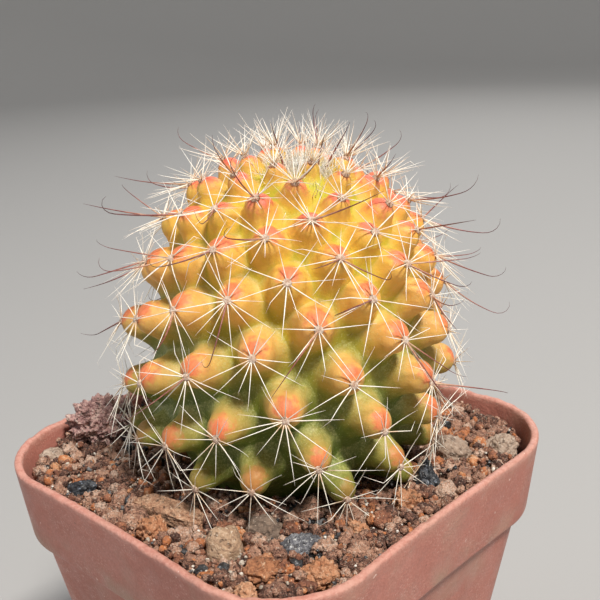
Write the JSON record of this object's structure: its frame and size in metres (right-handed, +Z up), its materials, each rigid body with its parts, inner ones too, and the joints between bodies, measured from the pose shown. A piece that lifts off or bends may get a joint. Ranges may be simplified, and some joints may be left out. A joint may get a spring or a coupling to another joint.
{
  "type": "potted round cactus",
  "caption": "Round nipple-ribbed cactus with clusters of straight and hooked spines, standing in gritty soil in a square plant pot with a deep rim band.",
  "frame": {"origin": "middle of the pot's underside, on the surface that it stands on", "axes": "+Z up out of the pot, X and Y along the pot's sides"},
  "size_m": [0.0754, 0.0746, 0.123],
  "materials": {
    "pot": "satin",
    "soil": "matte",
    "stem": "satin",
    "wool": "matte",
    "spines": "satin",
    "lava": "matte",
    "bark": "matte",
    "pebble": "matte",
    "dark_grit": "satin",
    "crusted_stone": "matte",
    "rock": "matte",
    "baked_clay": "matte"
  },
  "bodies": {
    "root": {"pot": "pot", "soil": "soil", "stem": "stem", "crown_wool": "wool", "spine_row_01": "spines", "spine_row_02": "spines", "spine_row_03": "spines", "spine_row_04": "spines", "spine_row_05": "spines", "spine_row_06": "spines", "spine_row_07": "spines", "spine_row_08": "spines", "spine_row_09": "spines", "spine_row_10": "spines", "spine_row_11": "spines", "spine_row_12": "spines", "spine_row_13": "spines", "lava_clump": "lava", "bark_slab": "bark", "beige_pebble": "pebble", "dark_shard_left": "dark_grit", "dark_shard_right": "dark_grit", "crusted_stone": "crusted_stone", "grey_rock": "rock", "tan_rock": "rock", "clay_lump_left": "baked_clay", "clay_lump_front": "baked_clay", "clay_lump_right": "baked_clay", "reddish_lump": "baked_clay", "grey_brown_stone": "rock", "orange_lump": "baked_clay", "amber_crumb": "baked_clay", "tan_lump": "rock"}
  },
  "joints": []
}
